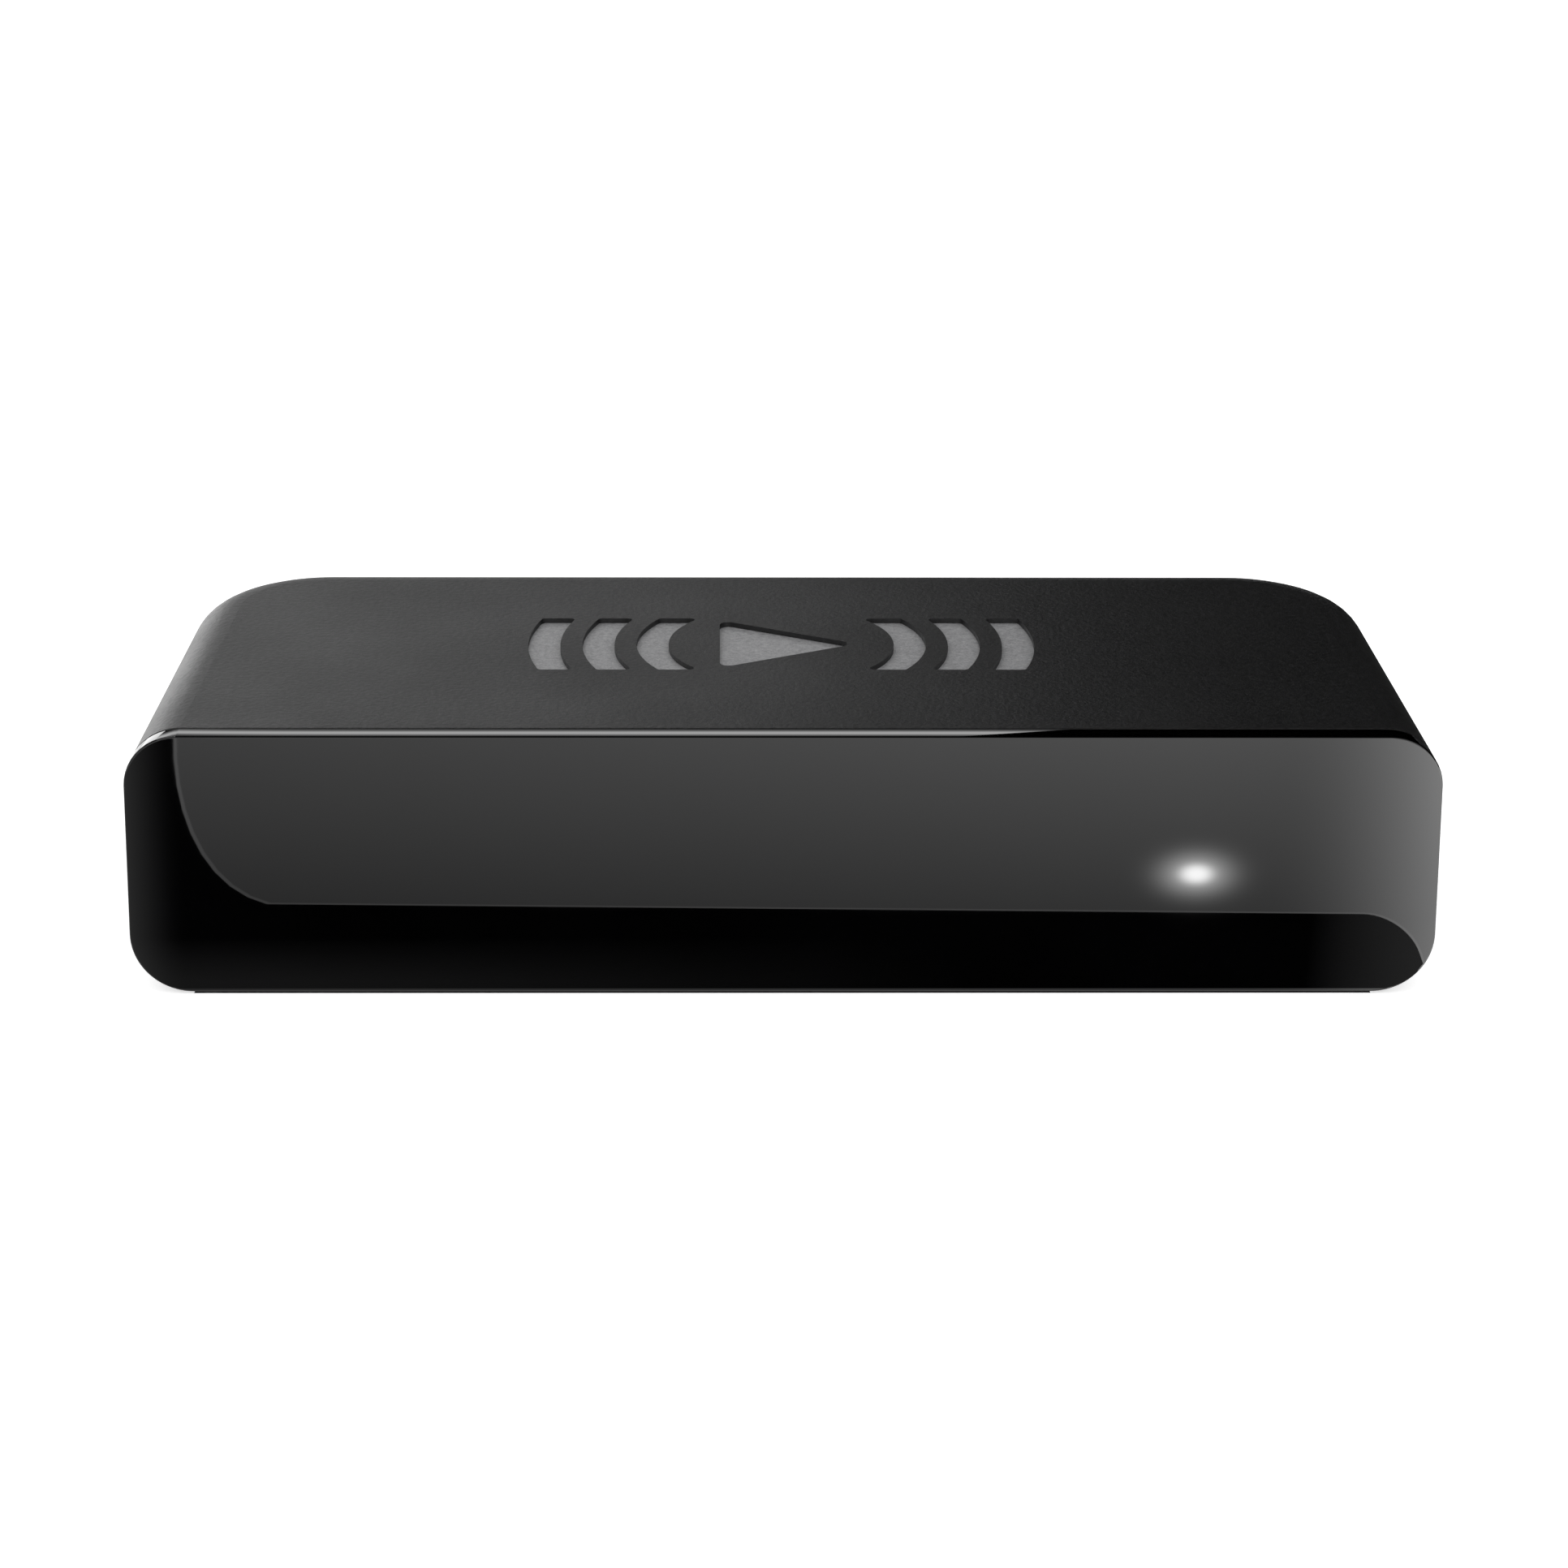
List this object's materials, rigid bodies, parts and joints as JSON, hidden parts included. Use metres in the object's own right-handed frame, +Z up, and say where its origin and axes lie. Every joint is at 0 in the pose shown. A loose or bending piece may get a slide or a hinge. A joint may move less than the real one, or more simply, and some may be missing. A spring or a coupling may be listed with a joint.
{
  "type": "streaming media player",
  "caption": "Small low box with a matte rounded housing, a smoked glossy front panel over a status light, and video, power and reset openings in the rear.",
  "frame": {"origin": "middle of the base, where the base pad's underside rests", "axes": "+X to the right as seen from the front, the front panel faces -Y, +Z up"},
  "size_m": [0.0864, 0.0356, 0.0182],
  "materials": {
    "matte_housing": "fine matte grain",
    "gloss_panel": "polished smoked plastic",
    "mark_grey": "satin grey",
    "mark_white": "printed ink",
    "rubber_black": "matte",
    "label_film": "matte film",
    "board_green": "solder mask",
    "screw_steel": "zinc plated",
    "chip_black": "moulded epoxy",
    "pad_grey": "soft silicone",
    "spreader_aluminium": "mill finish",
    "tinned_steel": "tin plated",
    "inductor_grey": "pressed ferrite",
    "can_aluminium": "bright can",
    "capacitor_tan": "fired ceramic",
    "resistor_black": "fired ceramic",
    "led_body": "cast resin",
    "light_pipe_clear": "polished acrylic",
    "shroud_rubber": "matte",
    "receiver_resin": "dark resin",
    "insulator_black": "moulded nylon",
    "contact_gold": "gold plated",
    "dome_steel": "spring steel",
    "button_black": "satin"
  },
  "bodies": {
    "housing": {"upper_housing": "matte_housing", "lower_housing": "matte_housing", "front_panel": "gloss_panel", "top_emblem": "mark_grey", "port_marks": "mark_white", "base_pad": "rubber_black", "rating_label": "label_film", "main_board": "board_green", "board_screws": "screw_steel", "system_chip": "chip_black", "thermal_pad": "pad_grey", "heat_spreader": "spreader_aluminium", "memory_chip": "chip_black", "flash_chip": "chip_black", "flash_leads": "tinned_steel", "wireless_chip": "chip_black", "wireless_shield_frame": "tinned_steel", "wireless_shield_lid": "tinned_steel", "power_regulators": "chip_black", "power_inductors": "inductor_grey", "bulk_capacitors": "can_aluminium", "ceramic_capacitors": "capacitor_tan", "chip_resistors": "resistor_black", "crystals": "tinned_steel", "line_filters": "inductor_grey", "antenna_left": "tinned_steel", "antenna_right": "tinned_steel", "status_led": "led_body", "light_pipe": "light_pipe_clear", "light_shroud": "shroud_rubber", "receiver_body": "receiver_resin", "receiver_shield": "tinned_steel", "receiver_leads": "tinned_steel", "video_socket_shell": "tinned_steel", "video_socket_insulator": "insulator_black", "video_socket_contacts": "contact_gold", "power_socket_shell": "tinned_steel", "power_socket_insulator": "insulator_black", "power_socket_contacts": "contact_gold", "reset_switch_base": "insulator_black", "reset_switch_dome": "dome_steel", "reset_switch_cover": "tinned_steel"},
    "reset_button": {"reset_button": "button_black"},
    "switch_plunger": {"reset_switch_plunger": "insulator_black"}
  },
  "joints": [
    {"name": "reset_press", "type": "slide", "parent": "housing", "child": "reset_button", "axis": [0, -1, 0], "range_m": [0, 0.0003], "stiffness_N_per_m": 600},
    {"name": "plunger_press", "type": "slide", "parent": "housing", "child": "switch_plunger", "axis": [0, -1, 0], "range_m": [0, 0.0003]}
  ],
  "couplings": [
    {"joint": "plunger_press", "follows": "reset_press", "ratio": 1}
  ]
}
